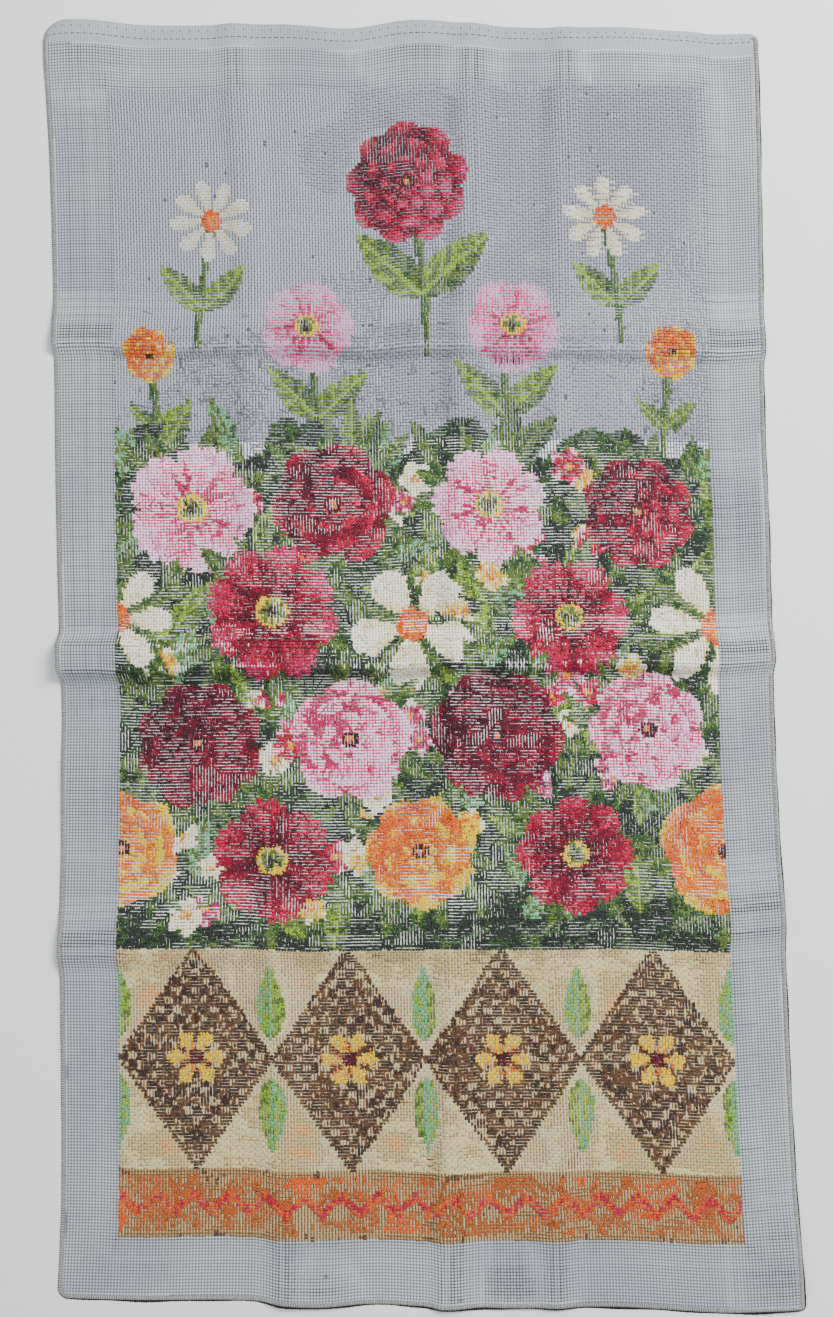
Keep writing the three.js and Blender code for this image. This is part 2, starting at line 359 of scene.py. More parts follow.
class Value:
    """A socket that takes part in sums."""

    def __init__(self, tree, socket):
        self.tree = tree
        self.socket = socket

    __add__ = __radd__ = sign("ADD")
    __sub__ = sign("SUBTRACT")
    __rsub__ = sign("SUBTRACT", swapped=True)
    __mul__ = __rmul__ = sign("MULTIPLY")
    __truediv__ = sign("DIVIDE")
    __pow__ = sign("POWER")
    __gt__ = sign("GREATER_THAN")
    __lt__ = sign("LESS_THAN")
    fraction = sign("FRACT")
    absolute = sign("ABSOLUTE")
    sine = sign("SINE")
    most = sign("MAXIMUM")

    def step(self, low, high):
        """0 to 1 as the value goes from low to high, with soft ends."""
        inputs = {"Value": self, "From Min": low, "From Max": high}
        return self.tree.node("ShaderNodeMapRange", dict(interpolation_type="SMOOTHSTEP"), inputs)


class Tree:
    """A node tree with one method that adds a node: its settings first, then its sockets."""

    def __init__(self, nodes):
        self.nodes = nodes

    def node(self, kind, settings=None, inputs=None, output=0):
        made = self.nodes.nodes.new(kind)
        for name, value in (settings or {}).items():
            setattr(made, name, value)
        for key, value in (inputs or {}).items():
            self.feed(made.inputs[key], value)
        return Value(self, made.outputs[output] if made.outputs else None)

    def feed(self, socket, value):
        if isinstance(value, Value):
            self.nodes.links.new(value.socket, socket)
        else:
            socket.default_value = value

    def parts(self, vector):
        """The three numbers of a vector, from one node."""
        first = self.node("ShaderNodeSeparateXYZ", inputs={0: vector})
        return [Value(self, socket) for socket in first.socket.node.outputs]

    def mix(self, first, second, share):
        """Blend of two colours."""
        return self.node("ShaderNodeMix", dict(data_type="RGBA"), {0: share, 6: first, 7: second}, output=2)

    def brighter(self, colour, factor):
        return self.node("ShaderNodeVectorMath", dict(operation="SCALE"), {0: colour, "Scale": factor})

    def noise(self, vector, scale):
        return self.node("ShaderNodeTexNoise", None, {"Vector": vector, "Scale": scale, "Detail": 2.0})

    def uv(self, name):
        return self.node("ShaderNodeUVMap", dict(uv_map=name))

    def dye(self):
        return self.node("ShaderNodeAttribute", dict(attribute_name="dye"))

    def object_place(self):
        return self.node("ShaderNodeTexCoord", output="Object")


def screen(red, green, blue):
    """A colour as a screen shows it, as the linear values that shaders use."""
    linear = [v / 12.92 if v <= 0.04045 else ((v + 0.055) / 1.055) ** 2.4 for v in (red, green, blue)]
    return (*linear, 1.0)


SPECULAR = 0.3


def finish(name, roughness, sheen=0.0):
    """A new material and its tree, with what is the same all over set on the shader."""
    material = bpy.data.materials.new(name)
    material.use_nodes = True
    tree = Tree(material.node_tree)
    tree.shader = material.node_tree.nodes["Principled BSDF"]
    levels = {"Roughness": roughness, "Sheen Weight": sheen, "Specular IOR Level": SPECULAR}
    for socket, level in levels.items():
        tree.feed(tree.shader.inputs[socket], level)
    return material, tree


def paint(tree, colour):
    tree.feed(tree.shader.inputs["Base Color"], colour)


def relief(tree, height_value, distance):
    """Bump in metres on a finish."""
    inputs = {"Height": height_value, "Distance": distance, "Strength": 1.0}
    tree.feed(tree.shader.inputs["Normal"], tree.node("ShaderNodeBump", None, inputs))


# %% Table and lights
def mesh_object(name, points, faces, material=None):
    """A mesh object at the origin, smooth shaded."""
    mesh = bpy.data.meshes.new(name)
    faces = [list(map(int, face)) for face in faces]
    mesh.from_pydata(np.asarray(points).tolist(), [], faces, shade_flat=False)
    if material is not None:
        mesh.materials.append(material)
    return put_in_scene(name, mesh)


TABLE_HALF = 3.0
table_finish, table_tree = finish("table_top", 0.9)
paint(table_tree, screen(0.93, 0.93, 0.93))
corners = [(-1, -1, 0), (1, -1, 0), (1, 1, 0), (-1, 1, 0)]
table_top = mesh_object("table_top", np.array(corners) * TABLE_HALF, [(0, 1, 2, 3)], table_finish)


def lamp(name, location, size, power):
    """A square soft box that faces the middle of the panel."""
    data = bpy.data.lights.new(name, "AREA")
    data.size = size
    data.energy = power
    made = put_in_scene(name, data)
    made.location = location
    made.rotation_euler = (-made.location).to_track_quat("-Z", "Y").to_euler()


lamp("key_light", (0.95, 0.85, 1.15), 0.8, 52)
lamp("fill_light", (-1.1, -0.5, 1.5), 1.4, 10)
world = bpy.data.worlds.new("studio")
world.use_nodes = True
room = world.node_tree.nodes["Background"].inputs
room["Color"].default_value = screen(0.97, 0.98, 1.0)
room["Strength"].default_value = 0.62
bpy.context.scene.world = world

# %% [markdown]
# ## The ground cloth
# The cloth is one thin sheet. It could be a subdivided plane pushed up by a modifier, but its mesh
# lines then cut across the folds and blur them. Here the lines follow each fold, close together on its
# slopes and wide apart on the flat, so some thirty thousand faces hold every crease. A second layer of
# the same lines, a cloth's thickness below, closes it.


# %% Mesh lines that follow the folds
SLOPE_STEPS = 7
PLAIN_STEP = 7
QUARTERS = (0, 0.25, 0.5, 0.75, 1)


def fold_lines(fold, length):
    """Pairs of shares along which one fold's feet, slopes and crest run."""
    lines = []
    for side, edge in (("before", -1), ("after", 1)):
        for share in np.linspace(0, 1, SLOPE_STEPS):
            lines.append([
                at + edge * (fold["crown"][end] / 2 + share * fold[side][end]) / length
                for end, at in enumerate(fold["at"])
            ])
    return lines


def mesh_lines(folds, rounds, edges, length):
    """All mesh lines in one direction, with plain ones wherever two are far apart."""
    lines = list(edges)
    for far, size in rounds:
        for share in QUARTERS:
            inset = share * size / length
            lines.append([1 - inset, 1 - inset] if far else [inset, inset])
    for fold in folds:
        lines += fold_lines(fold, length)
    lines.sort(key=sum)
    filled = [lines[0]]
    for start, end in zip(lines, lines[1:]):
        widest = max(end[0] - start[0], end[1] - start[1]) * length
        steps = max(1, math.ceil(widest / PLAIN_STEP))
        for k in range(1, steps + 1):
            filled.append([lerp((start[0], end[0]), k / steps), lerp((start[1], end[1]), k / steps)])
    return np.array(filled)


def sink_lines(edge, outwards, length):
    """Lines beside one edge of the field, where the cloth sinks back to the table."""
    return [edge + outwards * share * SINK * STITCH / length for share in QUARTERS]


side_lines = sink_lines(LEFT, -1, CLOTH_WIDTH) + sink_lines(RIGHT, 1, CLOTH_WIDTH)
end_lines = sink_lines(BOTTOM, -1, CLOTH_LENGTH) + sink_lines(TOP, 1, CLOTH_LENGTH)
across_lines = mesh_lines(FOLDS_ALONG, ((False, 13), (True, 6)), side_lines, CLOTH_WIDTH)
along_lines = mesh_lines(FOLDS_ACROSS, ((False, 6), (True, 13)), end_lines, CLOTH_LENGTH)
print(len(across_lines), "lines one way,", len(along_lines), "the other")


def crossings(columns, rows):
    """Where each row of mesh lines meets each column."""
    start, lean = columns[:, 0], columns[:, 1] - columns[:, 0]
    foot, tilt = rows[:, :1], rows[:, 1:] - rows[:, :1]
    across = (start + lean * foot) / (1 - lean * tilt)
    return np.clip(across, 0, 1), np.clip(foot + tilt * across, 0, 1)


def slab_faces(high, wide):
    """Quads of a closed slab: a top grid, then a bottom grid of the same size, then the rim."""
    number = np.arange(high * wide).reshape(high, wide)
    a, b = number[:-1, :-1].ravel(), number[:-1, 1:].ravel()
    c, d = number[1:, 1:].ravel(), number[1:, :-1].ravel()
    under = high * wide
    rim_path = np.concatenate([number[0, :], number[1:, -1], number[-1, -2::-1], number[-2:0:-1, 0]])
    ahead = np.roll(rim_path, -1)
    return np.concatenate([
        np.stack([a, b, c, d], axis=1),
        np.stack([a, d, c, b], axis=1) + under,
        np.stack([rim_path, rim_path + under, ahead + under, ahead], axis=1),
    ])


def slab(name, across, along, *depths):
    """A closed sheet over a grid of addresses, between an upper and a lower depth."""
    layers = [place(across, along, depth).reshape(-1, 3) for depth in depths]
    return mesh_object(name, np.concatenate(layers), slab_faces(*across.shape))


def add_uv(mesh, name, u, v):
    """A UV map from one pair of numbers for each vertex."""
    layer = mesh.uv_layers.new(name=name)
    corner = np.empty(len(mesh.loops), np.int32)
    mesh.loops.foreach_get("vertex_index", corner)
    layer.uv.foreach_set("vector", side_by_side(u[corner], v[corner]).astype(np.float32).ravel())


def points_of(mesh):
    spots = np.empty(len(mesh.vertices) * 3, np.float32)
    mesh.vertices.foreach_get("co", spots)
    return spots.reshape(-1, 3)


def add_cloth_maps(mesh, column, row, across, along):
    """The two UV maps that the cloth's finish reads."""
    add_uv(mesh, "stitches", column, row)
    add_uv(mesh, "from_edges", across * CLOTH_WIDTH, (1 - along) * CLOTH_LENGTH)


BAKE_INSET = 0.004


def add_bake_map(mesh):
    """The plan view as a UV map, which suits a panel seen from above."""
    spots = points_of(mesh)
    low, high = spots.min(axis=0), spots.max(axis=0)
    share = ((spots - low) / (high - low))[:, :2]
    add_uv(mesh, "OFBake", *(BAKE_INSET + (1 - 2 * BAKE_INSET) * share).T)


# %% Sew it together
across, along = crossings(across_lines, along_lines)
column, row = counted(across, along)
lift = pile(column, row)
cloth = slab("block_weave_cloth", across, along, lift + CLOTH_THICK, lift)


def doubled(values):
    return np.tile(values.ravel(), 2)


add_cloth_maps(cloth.data, *map(doubled, (column, row, across, along)))
add_bake_map(cloth.data)
print("cloth:", len(cloth.data.polygons), "quads")

# %% [markdown]
# ### Block weave, selvedge and printed grid
# Block weave is made of little square pads of thread with a hole at each corner. In the margins the
# holes read as rows of fine dark points, drawn in painted shade, and the lines between the pads and
# between the selvedge's ribs are darkened with painted shade too. The selvedge has no holes, only ribs,
# with a row of pin holes from the loom, also drawn in painted shade. A slate counting grid is printed
# down the left margin, a line every five stitches both ways, with short ticks in the right one, and
# ground colours are printed under the floss, where the flower bed's ground is painted near white as
# painted light between the bars. It could all be painted on an image, but a recipe in two UV maps stays
# sharp at any distance: one map counts stitches, and the other measures from the edges.

# %% Cloth finish
SELVEDGE = 14
HOLE = (0.12, 0.30)
CLOTH_COLOUR = screen(0.68, 0.70, 0.73)
CLOTH_LIGHT = screen(0.74, 0.77, 0.78)
# Under the flower bed the cloth is painted near white, painted light that keeps the stripes between the
# bars bright, and it was printed blue-grey above and buff below
UNDER_BED_PAINTED_LIGHT = screen(0.97, 0.97, 0.96)
UNDER_SKY = screen(0.69, 0.705, 0.735)
UNDER_BAND = screen(0.79, 0.74, 0.62)
UNDER_BASE = screen(0.74, 0.64, 0.48)
# Rows of the chart where the sky, the flower bed and the band of lozenges begin
SKY_LOW = 262
BED_LOW = 94
BAND_LOW = 22
# Painted shade: the colour drawn in the weave's holes and the selvedge's pin holes
HOLE_SHADE_COLOUR = screen(0.26, 0.28, 0.33)
PRINT_COLOUR = screen(0.40, 0.43, 0.49)
STAIN_COLOUR = screen(0.22, 0.21, 0.36)
# Printed counting grid: its lines, and the part of the left margin that it still shows on, in stitches
PRINT_EVERY = dict(row=5.0, column=5.0)
PRINT_AREA = dict(column=(-17.5, 0.3), row=(170.0, 384.0))
# Printed ticks in the right margin, where only these are left of the grid
TICKS = dict(every=10.0, column=(FIELD_COLUMNS, FIELD_COLUMNS + 8.0), row=(0.5, 375.0))
PIN_HOLE = dict(every=5.6, drop=3.6, size=(0.25, 0.70))
# Small ink marks: millimetres from the left and the top edge, and how far they spread
STAINS = (
    dict(left=3.4, top=645, wide=1.3, high=6.0),
    dict(left=2.6, top=734, wide=1.2, high=9.0),
    dict(left=158.5, top=760, wide=1.6, high=1.4),
    dict(left=238, top=772, wide=2.0, high=1.0),
    dict(left=425, top=262, wide=0.8, high=0.9),
)


def from_line(value, every=1.0):
    """Distance to the nearest multiple of every."""
    return (((value / every + 0.5).fraction() - 0.5).absolute()) * every


def between(value, low, high):
    return (value > low) * (value < high)


def spot(aside, drop, near, far):
    """1 in the middle of a round spot out to near, and 0 beyond far."""
    return 1 - ((aside * aside + drop * drop) ** 0.5).step(near, far)


def covered_by_floss(u, v):
    """1 inside the worked field."""
    return between(u, 0.1, FIELD_COLUMNS - 0.1) * between(v, 0.1, FIELD_ROWS - 0.1)


def printed_grid(u, v):
    lines = (from_line(v, PRINT_EVERY["row"]) < 0.16).most(from_line(u, PRINT_EVERY["column"]) < 0.2)
    lines = lines * between(u, *PRINT_AREA["column"]) * between(v, *PRINT_AREA["row"]) * 0.6
    ticks = from_line(v, TICKS["every"]) < 0.24
    return lines + ticks * between(u, *TICKS["column"]) * between(v, *TICKS["row"]) * 0.55


def pin_holes(from_left, from_top):
    """The row that the loom's pins leave in the selvedge."""
    return spot(from_line(from_left, PIN_HOLE["every"]), from_top - PIN_HOLE["drop"], *PIN_HOLE["size"])


def stains(from_left, from_top):
    found = 0.0
    for stain in STAINS:
        aside = (from_left - stain["left"]) / stain["wide"]
        drop = (from_top - stain["top"]) / stain["high"]
        found = spot(aside, drop, 0.5, 1.2).most(found)
    return found


def cloth_finish(name, blocks):
    """The cloth's finish. blocks is how high the pads of the weave are drawn, in metres."""
    material, tree = finish(name, 0.92)
    u, v, _ = tree.parts(tree.uv("stitches"))
    from_left, from_top, _ = tree.parts(tree.uv("from_edges"))
    place_on_it = tree.object_place()
    woven = from_top.step(SELVEDGE - 0.6, SELVEDGE + 0.6)
    hole_u, hole_v = from_line(u), from_line(v)
    hole = spot(hole_u, hole_v, *HOLE) * woven
    rib = from_line(u * 2).step(0.1, 0.4)
    # Painted shade along the lines between the pads
    valley_shade = (1 - hole_u.step(0.02, 0.22)) * 0.30 + (1 - hole_v.step(0.02, 0.18)) * 0.12
    cloud = tree.noise(place_on_it, 9.0)
    slub = tree.noise(place_on_it, 420.0)
    colour = tree.mix(CLOTH_COLOUR, CLOTH_LIGHT, cloud.step(0.35, 0.65))
    # The flower bed's ground is painted light
    ground = tree.mix(tree.mix(UNDER_BASE, UNDER_BAND, v > BAND_LOW), UNDER_BED_PAINTED_LIGHT, v > BED_LOW)
    ground = tree.mix(ground, UNDER_SKY, v > SKY_LOW)
    colour = tree.mix(colour, ground, covered_by_floss(u, v))
    # Painted shade: darker between the pads, and between the selvedge's ribs
    shade = (1 - valley_shade * woven) * (1 - (1 - woven) * (1 - rib) * 0.42)
    colour = tree.brighter(colour, shade * (0.9 + 0.2 * slub))
    faded = tree.noise(place_on_it, 60.0).step(0.3, 0.5)
    colour = tree.mix(colour, PRINT_COLOUR, printed_grid(u, v) * faded)
    pin = pin_holes(from_left, from_top)
    # Painted shade in the holes and the pin holes
    colour = tree.mix(colour, HOLE_SHADE_COLOUR, (hole * 0.85).most(pin * 0.8))
    colour = tree.mix(colour, STAIN_COLOUR, stains(from_left, from_top) * tree.noise(place_on_it, 500.0))
    paint(tree, colour)
    pad = (hole_u * hole_v * 4) ** 0.4
    relief(tree, pad * woven + (1 - woven) * rib * 0.7 - pin * 0.6 + slub * 0.15, blocks)
    return material


cloth.data.materials.append(cloth_finish("block_weave", 0.00025))

# %% [markdown]
# ## The shades of floss
# A worked panel is made from a few dozen skeins, each dyed one shade. They are listed here as a maker
# would pin them on a card, in screen colours from 0 to 1, and grouped in families. The stitches of one
# family become one mesh, and each stitch carries its own dye as an attribute.

# %% The skeins
FAMILIES = {
    "greys": {
        "mist": (0.50, 0.505, 0.555),
        "lilac_grey": (0.46, 0.455, 0.515),
        "pearl": (0.56, 0.57, 0.605),
        "slate": (0.33, 0.32, 0.38),
    },
    "reds": {
        "garnet": (0.26, 0.02, 0.10),
        "crimson": (0.39, 0.0, 0.12),
        "red": (0.54, 0.0, 0.16),
        "coral": (0.72, 0.07, 0.23),
    },
    "pinks": {
        "mulberry": (0.42, 0.13, 0.32),
        "rose": (0.74, 0.14, 0.35),
        "pink": (0.88, 0.24, 0.52),
        "blush": (0.93, 0.60, 0.80),
    },
    "golds": {
        "orange": (0.86, 0.34, 0.0),
        "amber": (0.90, 0.47, 0.0),
        "lemon": (0.93, 0.77, 0.02),
        "peach": (0.88, 0.59, 0.28),
        "apricot": (0.70, 0.34, 0.10),
    },
    "whites": {
        "cream": (0.91, 0.85, 0.58),
        "ivory": (0.95, 0.93, 0.80),
    },
    "greens": {
        "forest": (0.13, 0.18, 0.14),
        "leaf": (0.19, 0.32, 0.14),
        "moss": (0.35, 0.45, 0.17),
        "lime": (0.53, 0.67, 0.16),
        "mint": (0.41, 0.68, 0.46),
    },
    "browns": {
        "umber": (0.22, 0.15, 0.12),
        "chestnut": (0.36, 0.24, 0.15),
        "tan": (0.52, 0.37, 0.19),
        "straw": (0.74, 0.64, 0.40),
    },
}
SKEINS = {name: colour for shades in FAMILIES.values() for name, colour in shades.items()}
SHADE = {name: number for number, name in enumerate(SKEINS)}
DYES = np.array([screen(*colour) for colour in SKEINS.values()])
print(len(SKEINS), "skeins in", len(FAMILIES), "families")

# %% [markdown]
# ## The chart
# Counted work follows a chart: one square for each stitch. This one is drawn by short functions, each
# painting one kind of motif into an array, the way a designer blocks in a squared sheet. Round
# blooms and leaves fill a bed in a half-drop repeat with sprigs above it, a row of lozenges runs
# below, and a zigzag ends the field. Nothing is traced: every motif is a formula in polar or local
# coordinates, and a seeded grain breaks the steps between two shades, as mixed shades do in real work.

# %% The squared sheet
COL, ROW = np.meshgrid(np.arange(FIELD_COLUMNS) + 0.5, np.arange(FIELD_ROWS) + 0.5)
chance = np.random.default_rng(14)
chart = np.full(COL.shape, SHADE["mist"])
worked_across = np.zeros(COL.shape, bool)
GRAIN = chance.uniform(-1, 1, COL.shape)


def cloudy(cell, seed):
    """Smooth noise from -1 to 1 whose clouds are about cell stitches wide."""
    knots = np.random.default_rng(seed).uniform(-1, 1, (FIELD_ROWS // cell + 3, FIELD_COLUMNS // cell + 3))
    i, j = (COL / cell).astype(int), (ROW / cell).astype(int)
    u, v = smooth(0, 1, COL / cell - i), smooth(0, 1, ROW / cell - j)
    low = lerp((knots[j, i], knots[j, i + 1]), u)
    high = lerp((knots[j + 1, i], knots[j + 1, i + 1]), u)
    return lerp((low, high), v)


def work(mask, ramp, tone, across=False, grain=0.1):
    """Fills the masked squares from a ramp of shades, tone 0 to 1 picking the step."""
    level = (np.clip(tone + grain * GRAIN, 0, 0.999) * len(ramp)).astype(int)
    picks = np.array([SHADE[name] for name in ramp])[level]
    chart[mask] = picks[mask]
    worked_across[mask] = across


def around(x, y, radius):
    """Distance from a point in radii, and the bearing."""
    dx, dy = COL - x, ROW - y
    return np.hypot(dx, dy) / radius, np.arctan2(dy, dx)


# %% Motifs
def dahlia(x, y, radius, petals, ramp, phase):
    """Rings of short petals, each ring half a petal out of step with the last."""
    far, bearing = around(x, y, radius)
    rings = max(3, round(radius / 5.5))
    way = far ** 0.85 * rings
    ring = np.minimum(np.floor(way), rings - 1)
    swing = np.abs(np.cos(bearing * petals / 2 + ring * math.pi / 2 + phase))
    tone = 0.12 + 0.62 * np.clip(way - ring, 0, 1) * (0.35 + 0.65 * swing) + 0.22 * swing
    tone -= 0.18 * np.sin(bearing - 0.9)
    work(far < 0.86 + 0.14 * swing, ramp, tone, True)
    work(far < 0.13, ("garnet", "amber"), 1 - far / 0.13)


def daisy(x, y, radius, petals, ramp, phase=0.0, heart=("amber", "orange")):
    """Long separate petals around a round eye."""
    far, bearing = around(x, y, radius)
    swing = np.cos(bearing * petals + phase)
    width = np.cos(np.clip(far - 0.62, -0.62, 1) * 2.2)
    mask = (far < 1) & (swing > 0.62 - 1.25 * width + 4.5 * np.maximum(far - 0.8, 0))
    work(mask, ramp, 0.25 + 0.5 * far + 0.22 * swing)
    work(far < 0.27, heart, far / 0.27, True, 0.3)


def poppy(x, y, radius, petals, ramp, phase):
    """A few broad ruffled petals with a dark eye."""
    far, bearing = around(x, y, radius)
    swing = np.abs(np.cos(bearing * petals / 2 + phase))
    ruffle = 0.035 * np.cos(bearing * petals * 5 + 3 * phase)
    tone = 0.75 * far + 0.3 * swing - 0.28 * np.cos(bearing * petals * 3 + phase) * (1 - far) - 0.1
    work(far < 0.8 + 0.2 * swing ** 0.5 + ruffle, ramp, tone, True, 0.13)
    work(far < 0.24, ("umber", "moss", "lemon"), far / 0.24, grain=0.25)


def posy(x, y, radius, ramp, across):
    """A small five-petalled filler flower."""
    far, bearing = around(x, y, radius)
    swing = np.abs(np.cos(bearing * 2.5 + x))
    work(far < 0.72 + 0.28 * swing, ramp, 0.3 + 0.6 * far * swing, across, 0.15)
    work(far < 0.25, ("lemon", "amber"), far / 0.25, across)


def frond(x, y, angle, length, width, ramp=("forest", "leaf", "moss"), across=True):
    """A pointed leaf with a midrib and side veins, growing from x, y."""
    dx, dy = COL - x, ROW - y
    way = (dx * math.cos(angle) + dy * math.sin(angle)) / length
    side = (dy * math.cos(angle) - dx * math.sin(angle)) / width
    shape = np.sin(math.pi * np.clip(way, 0.001, 0.999) ** 0.75) ** 0.85
    mask = (way > 0) & (way < 1) & (np.abs(side) < shape * 0.5)
    vein = np.cos((way * 9 - np.abs(side) * 3) * math.pi)
    tone = 0.45 + 0.5 * side - 0.16 * vein + 0.15 * way
    work(mask, ramp, tone, across, 0.14)
    work(mask & (np.abs(side) < 0.07), ramp[-1:], tone, across)


def stem(x, y, tall, lean):
    """A curved stalk running down from x, y."""
    fall = (y - ROW) / tall
    middle = x + lean * np.sin(np.clip(fall, 0, 1) * math.pi / 2)
    mask = (fall > 0) & (fall < 1) & (np.abs(COL - middle) < 1.3)
    work(mask, ("leaf", "moss"), 0.5 + (COL - middle) / 3)


# %% Ground and sprigs
EVERYWHERE = COL > 0
SPECKS = 0.995
clouds = 0.5 + 0.3 * cloudy(34, 1) + 0.1 * cloudy(6, 2)
work(EVERYWHERE, ("lilac_grey", "mist", "pearl"), clouds, grain=0.05)
work(GRAIN > SPECKS, ("slate",), clouds)

CRIMSONS = ("garnet", "crimson", "red", "coral", "rose")
DEEP_REDS = CRIMSONS[:4]
ROSES = ("rose", "pink", "blush")
GOLDS = ("orange", "amber", "lemon")
CREAMS = ("straw", "cream", "ivory")
SPRIGS = (
    dict(x=34, y=338, radius=14, kind=daisy, petals=9, ramp=CREAMS, lean=-5, tall=44),
    dict(x=101, y=350, radius=21, kind=dahlia, petals=9, ramp=CRIMSONS, lean=6, tall=60),
    dict(x=168, y=338, radius=14, kind=daisy, petals=9, ramp=CREAMS, lean=5, tall=44),
    dict(x=66, y=301, radius=16, kind=poppy, petals=5, ramp=ROSES, lean=4, tall=44),
    dict(x=136, y=301, radius=16, kind=poppy, petals=5, ramp=ROSES, lean=-4, tall=44),
    dict(x=12, y=292, radius=9, kind=dahlia, petals=7, ramp=GOLDS, lean=3, tall=36),
    dict(x=190, y=292, radius=9, kind=dahlia, petals=7, ramp=GOLDS, lean=-3, tall=36),
)
for sprig in SPRIGS:
    x, y, radius = sprig["x"], sprig["y"], sprig["radius"]
    stem(x, y, sprig["tall"], sprig["lean"])
    for turn in (0.75, 2.35):
        foot = y - sprig["tall"] * 0.55 - 6
        frond(x + sprig["lean"] * 0.7, foot, turn, radius * 1.5, radius * 0.62, ("leaf", "moss", "lime"))
    sprig["kind"](x, y, radius, sprig["petals"], sprig["ramp"], phase=x)

# %% The flower bed
skyline = SKY_LOW + 7 * np.sin(COL * 2 * math.pi / 50.5) + 5 * cloudy(7, 3)
bed = (ROW > BED_LOW) & (ROW < skyline)
shade_of_bed = 0.4 + 0.3 * cloudy(6, 4) + 0.2 * cloudy(3, 5)
work(bed, ("forest", "forest", "leaf", "moss"), shade_of_bed, True, 0.2)
LEAVES, POSIES = 150, 90
LEAF_RAMPS = (("forest", "leaf", "moss"), ("leaf", "moss", "lime"), ("leaf", "mint", "moss"))
for k in range(LEAVES):
    x, y = chance.uniform(-4, FIELD_COLUMNS + 4), chance.uniform(BED_LOW, SKY_LOW - 4)
    turn, long, wide = chance.uniform(0.3, 2.8), chance.uniform(16, 26), chance.uniform(6, 10)
    frond(x, y, turn, long, wide, LEAF_RAMPS[k % 3], k % 2 == 0)
POSY_RAMPS = (("red", "coral", "pink"), ("mulberry", "rose", "blush"), ("amber", "lemon", "cream"), CREAMS)
for k in range(POSIES):
    x, y = chance.uniform(0, FIELD_COLUMNS), chance.uniform(BED_LOW + 8, SKY_LOW - 6)
    posy(x, y, chance.uniform(4, 6.5), POSY_RAMPS[k % 4], k % 3 == 0)

BED_ROWS = (
    dict(y=240, shift=0.5, kinds=(poppy, dahlia), ramps=(ROSES, DEEP_REDS)),
    dict(y=202, shift=0.0, kinds=(daisy, poppy), ramps=(CREAMS, CRIMSONS)),
    dict(y=163, shift=0.5, kinds=(dahlia, dahlia), ramps=(DEEP_REDS[:3], ROSES)),
    dict(y=124, shift=0.0, kinds=(dahlia, poppy), ramps=(GOLDS, DEEP_REDS)),
)
REPEAT = FIELD_COLUMNS / 4
for line in BED_ROWS:
    for k in range(5):
        x = (k + line["shift"]) * REPEAT + chance.uniform(-2, 2)
        y = line["y"] + chance.uniform(-3, 3)
        radius = chance.uniform(19, 23)
        for turn in (0.4, 1.3, 2.1, 3.4, 4.4, 5.5):
            frond(x, y, turn + 0.3 * k, radius * 1.45, radius * 0.5, across=turn < 3)
        petals = 5 + (k + line["y"]) % 4
        line["kinds"][k % 2](x, y, radius, petals, line["ramps"][k % 2], phase=k)

# %% The row of lozenges and the zigzag
half_high = (BED_LOW - BAND_LOW) / 2
band_middle = BAND_LOW + half_high
aside = (COL % REPEAT) - REPEAT / 2
lozenge = np.abs(aside) / (REPEAT / 2) + np.abs(ROW - band_middle) / half_high
band = (ROW >= BAND_LOW) & (ROW <= BED_LOW)
basket = ((COL // 3 + ROW // 3) % 2).astype(bool)
clouds = 0.5 + 0.35 * cloudy(15, 6) + 0.12 * cloudy(4, 7)
work(band, ("tan", "straw", "cream", "straw", "peach"), clouds, grain=0.06)
inner = band & (lozenge < 1)
work(inner, ("chestnut", "tan", "straw"), 0.5 + 0.2 * cloudy(5, 8), grain=0.3)
work(inner & basket, ("umber", "chestnut", "tan"), 0.35 + 0.3 * cloudy(4, 9), True, 0.2)
ringed = np.abs((lozenge * 4) % 1 - 0.5) > 0.42
work(band & (lozenge < 1.02) & ringed, ("umber", "chestnut"), 0.4 + 0 * ROW, True, 0.4)
for k in range(4):
    middle = (k + 0.5) * REPEAT
    daisy(middle, band_middle, 9, 6, ("amber", "lemon"), heart=("crimson", "garnet"))
    for side in (-1, 1):
        for turn in (math.pi / 2, -math.pi / 2):
            foot = band_middle + turn * 4
            frond(middle + side * REPEAT / 2, foot, turn, 24, 9, ("moss", "lime", "mint"), False)
base = ROW < BAND_LOW
zigzag = np.abs((COL % 12) - 6)
work(base, ("chestnut", "tan", "apricot", "tan", "orange"), 0.55 + 0.4 * cloudy(10, 10))
work(base & (np.abs(ROW - 8 - zigzag) < 1.8), ("orange", "coral"), 0.5 + 0 * ROW, True)
work(base & ((ROW < 2) | (ROW > BAND_LOW - 2)), ("tan", "chestnut"), 0.3 + 0.3 * cloudy(4, 11))
counts = np.bincount(chart.ravel(), minlength=len(SKEINS))
print({name: int(counts[SHADE[name]]) for name in SKEINS})

# %% [markdown]
# ## Geometry Nodes: one template on many points
# Stitches, weave pads and dashes are all the same job: a small closed shape repeated thousands of
# times with a turn and a size of its own. One tree does it. Each point brings its turn and its three
# sizes as attributes, the tree adds a seeded sway, and Realize Instances turns the copies into a real
# mesh. The copies are laid out flat, and their points are draped over the cloth afterwards.


# %% The tree
SIZES = ("long", "wide", "high")
SOCKETS = dict(
    Geometry="Geometry", Template="Object", Sway="Float", Unevenness="Float", Seed="Int", Finish="Material",
)


